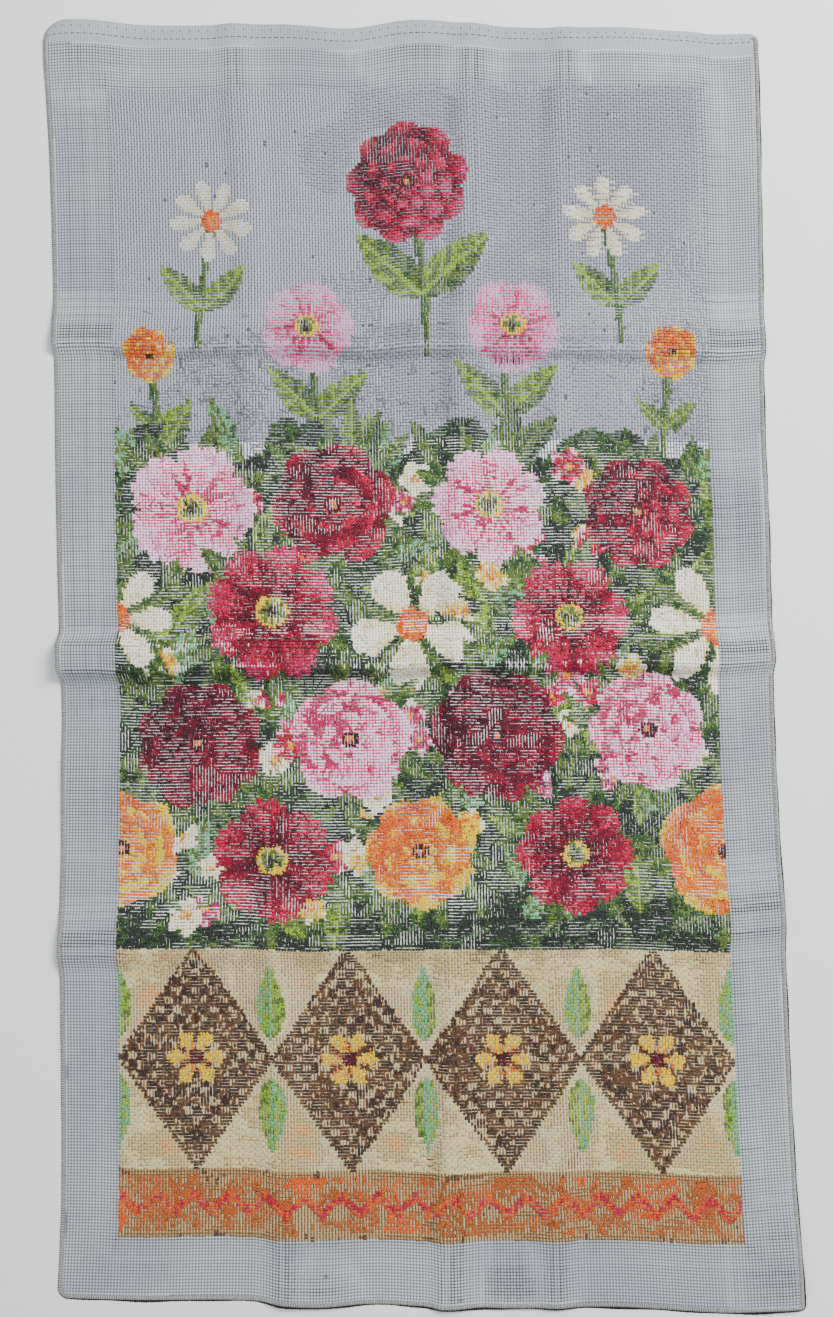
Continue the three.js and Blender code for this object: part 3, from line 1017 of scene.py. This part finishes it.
def scatter_tree():
    nodes = bpy.data.node_groups.new("scatter_on_points", "GeometryNodeTree")
    for name, kind in SOCKETS.items():
        nodes.interface.new_socket(name, in_out="INPUT", socket_type="NodeSocket" + kind)
    nodes.interface.new_socket("Geometry", in_out="OUTPUT", socket_type="NodeSocketGeometry")
    tree = Tree(nodes)
    outputs = tree.node("NodeGroupInput").socket.node.outputs
    given = {name: Value(tree, outputs[name]) for name in SOCKETS}

    def named(attribute):
        return tree.node("GeometryNodeInputNamedAttribute", dict(data_type="FLOAT"), {"Name": attribute})

    def uneven(low, high, offset):
        inputs = {2: low, 3: high, 8: given["Seed"] + offset}
        return tree.node("FunctionNodeRandomValue", dict(data_type="FLOAT"), inputs, output=1)

    sway, rough = given["Sway"], given["Unevenness"]
    rotation = tree.node("ShaderNodeCombineXYZ", None, {2: named("turn") + uneven(0 - sway, sway, 1)})
    sizes = {k: named(name) * uneven(1 - rough, 1 + rough, k + 2) for k, name in enumerate(SIZES)}
    scale = tree.node("ShaderNodeCombineXYZ", None, sizes)
    shape = tree.node("GeometryNodeObjectInfo", None, {"Object": given["Template"]}, output="Geometry")
    spots = tree.node("GeometryNodeMeshToPoints", None, {"Mesh": given["Geometry"]})
    inputs = {"Points": spots, "Instance": shape, "Rotation": rotation, "Scale": scale}
    copies = tree.node("GeometryNodeInstanceOnPoints", None, inputs)
    real = tree.node("GeometryNodeRealizeInstances", None, {"Geometry": copies})
    painted = tree.node("GeometryNodeSetMaterial", None, {"Geometry": real, "Material": given["Finish"]})
    tree.node("NodeGroupOutput", None, {0: painted})
    return nodes


SCATTER = scatter_tree()


def add_dye(mesh, domain, colours):
    layer = mesh.attributes.new("dye", "FLOAT_COLOR", domain)
    layer.data.foreach_set("color", colours.astype(np.float32).ravel())


def scatter(name, spots, sizes, turn, template, material, unevenness, seed, sway=0.0, dye=None):
    """Copies of a template on flat points. Returns the object and its points, still flat."""
    carrier_mesh = bpy.data.meshes.new(name + "_points")
    carrier_mesh.from_pydata(np.asarray(spots).tolist(), [], [])
    values = dict(zip((*SIZES, "turn"), (*sizes, turn)))
    for key, value in values.items():
        filled = np.broadcast_to(value, len(spots)).astype(np.float32)
        carrier_mesh.attributes.new(key, "FLOAT", "POINT").data.foreach_set("value", filled)
    if dye is not None:
        add_dye(carrier_mesh, "POINT", dye)
    carrier = put_in_scene(name + "_points", carrier_mesh)
    modifier = carrier.modifiers.new("scatter", "NODES")
    modifier.node_group = SCATTER
    given = dict(Template=template, Sway=sway, Unevenness=unevenness, Seed=seed, Finish=material)
    for item in SCATTER.interface.items_tree:
        if item.name in given:
            modifier[item.identifier] = given[item.name]
    seen = carrier.evaluated_get(bpy.context.evaluated_depsgraph_get())
    mesh = bpy.data.meshes.new_from_object(seen)
    carrier.modifiers.remove(modifier)
    bpy.data.objects.remove(carrier)
    for key in values:
        if key in mesh.attributes:
            mesh.attributes.remove(mesh.attributes[key])
    mesh.name = name
    return put_in_scene(name, mesh), points_of(mesh).astype(float)


def move_to(made, points):
    """Gives a mesh its final points, and a UV map of its plan view."""
    made.data.vertices.foreach_set("co", points.astype(np.float32).ravel())
    made.data.update()
    add_bake_map(made.data)
    print(made.name, len(made.data.polygons), "faces")


# %% [markdown]
# ## The floss on the back
# On the back of cross stitch each cross leaves a short bar between two holes. Rows that were worked
# from side to side leave upright bars, with a stripe of bare cloth between them, and columns leave
# level ones. Where they meet, both kinds close the patch with a last bar. Light plain parts show a net,
# as a second thread runs square to the bars there. A bar is drawn as a low ridge with hipped ends:
# eight triangles, closed, with smooth shading to round it off, and neighbours of one shade share one.
# Its UV maps run along and across the strands, for the ply, and count the stitches, for the holes.

# %% Templates
RIDGE = 0.30


def bar_template():
    """A unit bar along x, one unit long, wide and high."""
    points = [(-0.5, -0.5, 0), (0.5, -0.5, 0), (0.5, 0.5, 0), (-0.5, 0.5, 0), (-RIDGE, 0, 1), (RIDGE, 0, 1)]
    faces = [(0, 1, 5, 4), (2, 3, 4, 5), (1, 2, 5), (3, 0, 4), (3, 2, 1, 0)]
    made = mesh_object("bar_template", points, faces)
    spots = np.array(points)
    add_uv(made.data, "ply", spots[:, 0] + 0.5, spots[:, 1] + 0.5)
    return made


def pad_template():
    """A unit pad: a square base and a low peak."""
    points = [(-0.5, -0.5, 0), (0.5, -0.5, 0), (0.5, 0.5, 0), (-0.5, 0.5, 0), (0, 0, 1)]
    faces = [(0, 1, 4), (1, 2, 4), (2, 3, 4), (3, 0, 4), (3, 2, 1, 0)]
    return mesh_object("pad_template", points, faces)


BAR = bar_template()
PAD = pad_template()


# %% Floss finish
def wave(turns):
    """A sine that comes round once for each whole turn."""
    return (turns * (2 * math.pi)).sine()


def floss_finish(name):
    """Two soft strands side by side, in the dye that each stitch carries, with painted shade over a hole,
    along the sides of the bar and in the twist of the strands.
    """
    material, tree = finish(name, 0.6, 0.05)
    dye = tree.dye()
    along_it, across_it, _ = tree.parts(tree.uv("ply"))
    place_on_it = tree.object_place()
    u, v, _ = tree.parts(tree.uv("stitches"))
    hole = spot(from_line(u), from_line(v), *HOLE)
    strands = wave(across_it).absolute()
    twist = wave(along_it * 5 + across_it * 2)
    worn = tree.noise(place_on_it, 240.0)
    # Painted shade: darker along both sides of each bar, over the holes and a little in the twist
    edge = ((across_it - 0.5).absolute() * 2) ** 2
    tone = 0.88 + 0.34 * worn - edge * 0.22 + twist * 0.03
    paint(tree, tree.brighter(dye, tone * (1 - 0.38 * hole)))
    relief(tree, strands + twist * 0.25, 0.00012)
    return material


# %% Which way and how tight
BAR_TIGHT, BAR_SLACK = 0.86, 1.06
RED_EXTRA = 0.07
NET_WIDE, NET_UNDER = 0.56, 0.46
BAR_HIGH = 0.38
NET_HIGH = BAR_HIGH * 0.8
SUNK = 0.03
OVERLAP = 0.04
NET_SHADES = ("mist", "lilac_grey", "pearl", "pink", "blush", "peach", "cream", "ivory", "straw", "tan")


def of_shades(shades, names):
    """Which of the numbered shades have one of these names."""
    return np.isin(shades, [SHADE[name] for name in names])


plain = of_shades(chart, NET_SHADES)
sky = ROW > skyline
patchy = (cloudy(36, 18) > 0.35) & (cloudy(4, 19) > -0.3)
# Where shades mix, the stitches were worked one by one and lie either way
mixed = np.where(sky, plain & patchy, ~plain & (cloudy(5, 17) > 0.36))
worked_across ^= ~plain & (cloudy(9, 16) > 0.45)
worked_across[mixed] = chance.random(int(mixed.sum())) < 0.5
# Loose strands lie wide and hide the cloth, and tight ones leave a stripe of it bare
slack = smooth(-0.9, 0.9, 0.5 * cloudy(19, 12) + 0.5 * cloudy(6, 13) + 0.8 * mixed)
# In light parts a second thread runs square to the bars and below them, and leaves a net of bare pads
netted = plain & ~mixed & (cloudy(24, 15) + np.where(sky, (COL - 90) / 50, 0.4) > 0)
red_bars_wide = RED_EXTRA * of_shades(chart, FAMILIES["reds"])
BARS_WIDE = np.where(plain, NET_WIDE, lerp((BAR_TIGHT, BAR_SLACK), slack) + red_bars_wide)


# %% Bars of one direction
def in_line_pairs(shades, wanted):
    """Stitches of one direction, along the last axis. Two neighbours of one shade share a bar."""
    line, start = np.indices(wanted.shape)
    together = np.zeros(wanted.shape, bool)
    together[:, :-1] = wanted[:, :-1] & wanted[:, 1:] & (shades[:, :-1] == shades[:, 1:])
    together &= (line + start) % 2 == 0
    kept = wanted.copy()
    kept[:, 1:] &= ~together[:, :-1]
    return line[kept], start[kept], 1 + together[kept], shades[kept]


def last_lines(wanted):
    """Stitches whose far side borders on the other direction. They get a bar on that side too."""
    last = wanted.copy()
    last[:-1] &= ~wanted[1:]
    return last


def crossing_threads(shades, wanted, span=4):
    """Long threads that run square to the bars, where all the stitches that they cross want one."""
    whole = np.lib.stride_tricks.sliding_window_view(wanted, span, axis=1).all(axis=2)
    line, start = np.nonzero(whole)
    kept = (start + 2 * line) % span == 0
    line, start = line[kept], start[kept]
    return line, start, np.full(len(line), span), shades[line, start + 1]


def bars_one_way(upright):
    """A row for each bar: its place, shade, length, width, height and turn."""
    turned = np.transpose if upright else np.asarray
    shades, width = turned(chart), turned(BARS_WIDE)
    mine = turned(~worked_across if upright else worked_across)
    groups = []
    for wanted, beyond in ((mine, 0), (last_lines(mine), 1)):
        line, start, span, shade = in_line_pairs(shades, wanted)
        groups.append((line + beyond, start, span, shade, width[line, start], BAR_HIGH))
    groups.append((*crossing_threads(shades, ~mine & turned(netted)), NET_UNDER, NET_HIGH))
    line, start, span, shade, wide, high = np.concatenate([side_by_side(*group) for group in groups]).T
    place_in_line = (line, start + span / 2) if upright else (start + span / 2, line)
    return side_by_side(*place_in_line, -SUNK, shade, span + OVERLAP, wide, high, math.pi / 2 * upright)


# %% [markdown]
# ### Carried threads
# Where many shades meet, the stitcher carries a thread across to its next place, and it shows on the
# back as a longer bar that crosses the others at any angle. Some two thousand are strewn by chance,
# most of them in the flower bed, each in the dye of the square that it sets out from.

# %% Strew the carried threads
CARRIED = 2200
# Lowest row, the row where most of them are, and the highest row
CARRIED_ROWS = (BED_LOW, 190, SKY_LOW + 50)
CARRIED_WIDE = 0.34
CARRIED_HIGH = 0.34
CARRIED_LIFT = 0.20


def carried_threads():
    """Rows like those of bars_one_way."""
    rows = chance.triangular(*CARRIED_ROWS, CARRIED).astype(int)
    columns = chance.integers(4, FIELD_COLUMNS - 4, CARRIED)
    long, turn = chance.uniform(1.8, 4.2, CARRIED), chance.uniform(0, math.pi, CARRIED)
    start = (columns + 0.5, rows + 0.5, CARRIED_LIFT, chart[rows, columns])
    return side_by_side(*start, long, CARRIED_WIDE, CARRIED_HIGH, turn)


# %% Lay every bar
JITTER = 0.05
# How far dyes, turns and sizes stray within a family, as a share
STRAY, STRAY_OF_GREYS = 0.11, 0.04
bars = np.concatenate([bars_one_way(False), bars_one_way(True), carried_threads()])
bars[:, :2] += chance.uniform(-JITTER, JITTER, (len(bars), 2))
shade = bars[:, 3].astype(int)
print(len(bars), "bars, with the carried threads")
floss_pieces = []
for family, shades in FAMILIES.items():
    mine = of_shades(shade, shades)
    lots = STRAY_OF_GREYS if family == "greys" else STRAY
    dye = DYES[shade[mine]] * chance.uniform(1 - lots, 1 + lots, (int(mine.sum()), 1))
    dye[:, 3] = 1
    spots, sizes, turn = bars[mine, :3], bars[mine, 4:7].T, bars[mine, 7]
    name = "floss_" + family
    made, flat = scatter(
        name, spots, sizes, turn, BAR, floss_finish(name), 0.8 * lots, len(name), sway=0.6 * lots, dye=dye,
    )
    add_uv(made.data, "stitches", *flat.T[:2])
    move_to(made, drape(*flat.T))
    floss_pieces.append(made)

# %% [markdown]
# ## Pads of the bare margin
# In the margins the weave itself is on show, so there each pad of thread is raised too, from the same
# tree with a four-sided pad. Only squares that lie wholly on the cloth, outside the field and below
# the selvedge, get one.

# %% Lay the pads
PAD_ACROSS, PAD_ALONG = 0.91, 0.98
PAD_HIGH = 0.22
EDGE_CLEAR = 3.2
# More squares than any margin holds
BEYOND = 28
grid_columns, grid_rows = np.meshgrid(
    np.arange(-BEYOND, FIELD_COLUMNS + BEYOND) + 0.5,
    np.arange(-BEYOND, FIELD_ROWS + BEYOND) + 0.5,
)
outside = (grid_columns < 0) | (grid_columns > FIELD_COLUMNS) | (grid_rows < 0) | (grid_rows > FIELD_ROWS)
across, along = address(grid_columns, grid_rows)
from_side = np.minimum(across, 1 - across) * CLOTH_WIDTH
from_foot, from_top = along * CLOTH_LENGTH, (1 - along) * CLOTH_LENGTH
wanted = outside & (from_side > EDGE_CLEAR) & (from_foot > EDGE_CLEAR) & (from_top > SELVEDGE + 1)
spots = side_by_side(grid_columns, grid_rows, -SUNK)[wanted]
pad_finish = cloth_finish("weave_pad", 0.00012)
pads, flat = scatter("weave_pads", spots, (PAD_ACROSS, PAD_ALONG, PAD_HIGH), 0, PAD, pad_finish, 0.03, 5)
add_cloth_maps(pads.data, *flat.T[:2], *address(*flat.T[:2]))
move_to(pads, drape(*flat.T))

# %% [markdown]
# ## Overlocked edges
# Three edges are bound by an overlock machine: a thread wraps over the raw edge in close loops, a
# second one lies along the rim as a chain, and the needle thread runs a little way in. A curve with a
# round profile could be swept along the edge, but the wraps are separate loops on the real cloth. So a
# loop, a chain link and a needle stitch are each repeated by the same tree along a straight strip, and
# the strip is then bent onto the hem: x runs along the edge, y outwards from it, and z up.


# %% The hem as a strip
HEM_STEPS = 1500


def hem_path():
    """Points down the left edge, along the bottom and up the right one, and the way to each of them."""
    share = np.linspace(0, 1, HEM_STEPS)
    start, end = 0 * share, 0 * share + 1
    across = np.concatenate([start, share[1:], end[1:]])
    along = np.concatenate([1 - share, start[1:], share[1:]])
    column, row = counted(across, along)
    path = place(across, along, pile(column, row) + CLOTH_THICK / 2) / MM
    step = np.linalg.norm(np.diff(path, axis=0), axis=1)
    keep = np.append(True, step > 1e-4)
    path = path[keep]
    travelled = np.append(0, np.cumsum(np.linalg.norm(np.diff(path, axis=0), axis=1)))
    return path, travelled


HEM, TRAVELLED = hem_path()
HEM_LONG = TRAVELLED[-1]
print("hem:", round(HEM_LONG), "mm")


def along_hem(distance):
    return side_by_side(*[np.interp(distance, TRAVELLED, axis) for axis in HEM.T])


def unit(arrows):
    return arrows / np.linalg.norm(arrows, axis=1, keepdims=True)


def hem_to_room(flat):
    """Points of the strip, bent onto the hem. Each one follows the hem's direction at its own place."""
    here = np.clip(flat[:, 0], 2, HEM_LONG - 2)
    ahead = along_hem(here + 1.5) - along_hem(here - 1.5)
    ahead[:, 2] = 0
    ahead = unit(ahead)
    out = side_by_side(ahead[:, 1], -ahead[:, 0])
    points = along_hem(flat[:, 0])
    points[:, :2] += out * flat[:, 1:2]
    points[:, 2] = np.maximum(points[:, 2] + flat[:, 2], TABLE_GAP)
    return points * MM


# %% Loop template
def strand(name, path, wide, thick):
    """A three-sided strand along a path that keeps near the y-z plane, closed at both ends."""
    path = np.array(path, float)
    ahead = unit(np.gradient(path, axis=0))
    points = []
    for (x, y, z), (_, dy, dz) in zip(path, ahead):
        up_y, up_z = -dz * thick, dy * thick
        points += [(x - wide / 2, y, z), (x + wide / 2, y, z), (x, y + up_y, z + up_z)]
    faces = [(2, 1, 0)]
    for k in range(len(path) - 1):
        for side in range(3):
            a, b = 3 * k + side, 3 * k + (side + 1) % 3
            faces.append((a, b, b + 3, a + 3))
    last = 3 * (len(path) - 1)
    faces.append((last, last + 1, last + 2))
    made = mesh_object(name, points, faces)
    spots = np.array(points)
    add_uv(made.data, "ply", (spots[:, 1] - spots[:, 1].min()) / 3, (spots[:, 0] + wide / 2) / wide)
    return made


WRAP_DEEP = 2.1
HALF_THICK = CLOTH_THICK / 2
LOOP = strand("loop_template", [
    (-0.30, -WRAP_DEEP, HALF_THICK + 0.02),
    (-0.15, -0.9, HALF_THICK + 0.10),
    (0.00, 0.12, 0.22),
    (0.12, 0.12, -0.22),
    (0.25, -1.4, -HALF_THICK - 0.02),
], 1.2, 0.22)


def thread_finish(name, colour, dark):
    """Matt sewing thread, with painted shade between its plies and darker random flecks."""
    material, tree = finish(name, 0.85)
    along_it, across_it, _ = tree.parts(tree.uv("ply"))
    twist = wave(along_it * 6 + across_it * 1.5)
    fleck = tree.noise(tree.object_place(), 160.0)
    # Painted shade in the twist between plies, plus random darker flecks
    shade = (0.3 - 0.2 * twist + fleck * 0.5).step(0.2, 1)
    paint(tree, tree.mix(colour, dark, shade))
    relief(tree, twist, 0.00008)
    return material


# %% Run the hem through the machine
LOOP_EVERY = 1.35
pale_thread = thread_finish("overlock_thread", screen(0.72, 0.73, 0.70), screen(0.61, 0.62, 0.59))
needle_thread = thread_finish("needle_thread", screen(0.66, 0.68, 0.70), screen(0.52, 0.54, 0.57))
# A dark thread that also stands in for the shade under the cloth's edge
rim_thread_and_shade = thread_finish("rim_thread_and_shade", screen(0.14, 0.15, 0.14), screen(0.06, 0.07, 0.06))


def sew(name, spots, sizes, template, thread, **play):
    """Copies of a template along the strip, bent onto the hem."""
    made, flat = scatter(name, spots, sizes, 0, template, thread, **play)
    move_to(made, hem_to_room(flat))
    return made


beats = np.arange(0.6, HEM_LONG - 0.4, LOOP_EVERY)
spots = side_by_side(beats, 0, 0)
loops = sew("overlock_loops", spots, (1, 1, 1), LOOP, pale_thread, unevenness=0.10, seed=21, sway=0.12)
# The dark chain is thin down the left edge, widest along the bottom and between the two up the right one.
# Its dark thread also stands in for the shade under the cloth's outer edge.
CHAIN_WIDE = ((0, 0.35), (0.38, 0.35), (0.40, 1.35), (0.60, 1.35), (0.64, 0.85), (1, 0.85))
chain_wide = np.interp(beats / HEM_LONG, *np.array(CHAIN_WIDE).T)
chain_wide *= 1 + 0.35 * np.sin(beats / 9) * np.sin(beats / 23)
spots = side_by_side(beats, 0.08 + chain_wide / 2, -0.28)
sizes = (1.9, chain_wide, 0.45)
chain = sew("overlock_chain", spots, sizes, BAR, rim_thread_and_shade, unevenness=0.12, seed=22, sway=0.2)
spots = side_by_side(beats[::2], -WRAP_DEEP - 0.15, HALF_THICK)
sizes = (2.3, 0.42, 0.28)
needle = sew("needle_line", spots, sizes, BAR, needle_thread, unevenness=0.12, seed=23, sway=0.05)

# %% [markdown]
# ## Marker thread
# A blue-grey thread is woven into the selvedge and shows as a line of dashes. It isn't quite parallel
# with the edge: 9 mm below it at the left and 5.5 mm at the right. Each dash is one bar, laid on the
# flat cloth in millimetres and then draped.

# %% Weave the dashes
DASH_EVERY = 3.8
MARKER_DROP = ((0.0, 9.0), (0.5, 8.0), (1.0, 5.5))
dash_x = np.arange(2.5, CLOTH_WIDTH - 2, DASH_EVERY)
dash_y = CLOTH_LENGTH - np.interp(dash_x / CLOTH_WIDTH, *np.array(MARKER_DROP).T)
blue_thread = thread_finish("marker_thread", screen(0.30, 0.34, 0.48), screen(0.18, 0.20, 0.32))
spots, sizes = side_by_side(dash_x, dash_y, -SUNK), (2.5, 0.55, 0.32)
marker, flat = scatter("marker_thread", spots, sizes, 0, BAR, blue_thread, 0.14, 31, sway=0.06)
x, y, z = flat.T
move_to(marker, place(x / CLOTH_WIDTH, y / CLOTH_LENGTH, TABLE_GAP + CLOTH_THICK + z))

# %% [markdown]
# ## The front, face down
# The full crosses are on the side that lies on the table and can't be seen here, so they are finished
# plainly: one closed layer under the cloth, in blocks of about three stitches in the chart's dyes. Its
# relief comes from the finish, which draws a cross in every square.

# %% Lay the front
BLOCK = 3
column_lines = np.linspace(0, FIELD_COLUMNS, FIELD_COLUMNS // BLOCK + 1)
row_lines = np.linspace(0, FIELD_ROWS, FIELD_ROWS // BLOCK + 1)
front_columns, front_rows = np.meshgrid(column_lines, row_lines)
across, along = address(front_columns, front_rows)
front = slab("front_crosses", across, along, TABLE_GAP + FRONT_PILE - SUNK, TABLE_GAP)
add_uv(front.data, "stitches", doubled(front_columns), doubled(front_rows))
blocks = chart[(row_lines[:-1] + 1).astype(int)][:, (column_lines[:-1] + 1).astype(int)].ravel()
rim_faces = len(front.data.polygons) - 2 * len(blocks)
picks = np.concatenate([blocks, blocks, np.full(rim_faces, blocks[0])])
add_dye(front.data, "CORNER", np.repeat(DYES[picks], 4, axis=0))


def crosses_finish():
    material, tree = finish("front_crosses", 0.6, 0.05)
    dye = tree.dye()
    u, v, _ = tree.parts(tree.uv("stitches"))
    lower, upper = from_line(u - v), from_line(u + v)
    cross = (1 - lower * 2.6).most(0.8 - upper * 2.4).most(0.0)
    # Painted shade: each square's dye is darker away from the arms of its cross
    paint(tree, tree.brighter(dye, 0.6 + 0.45 * cross))
    relief(tree, cross, 0.0003)
    return material


front.data.materials.append(crosses_finish())
add_bake_map(front.data)
print("front:", len(front.data.polygons), "quads")

# %% Hand over
for template in (BAR, PAD, LOOP):
    bpy.data.objects.remove(template)
pieces = [*floss_pieces, front, pads, loops, chain, needle, marker]
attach(cloth, "root")
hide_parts("ground_cloth")
for piece in pieces:
    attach(piece, "root")
for piece in floss_pieces:
    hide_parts("worked_floss")
print("triangles:", sum(len(p.data.loops) - 2 * len(p.data.polygons) for p in [cloth, *pieces]))
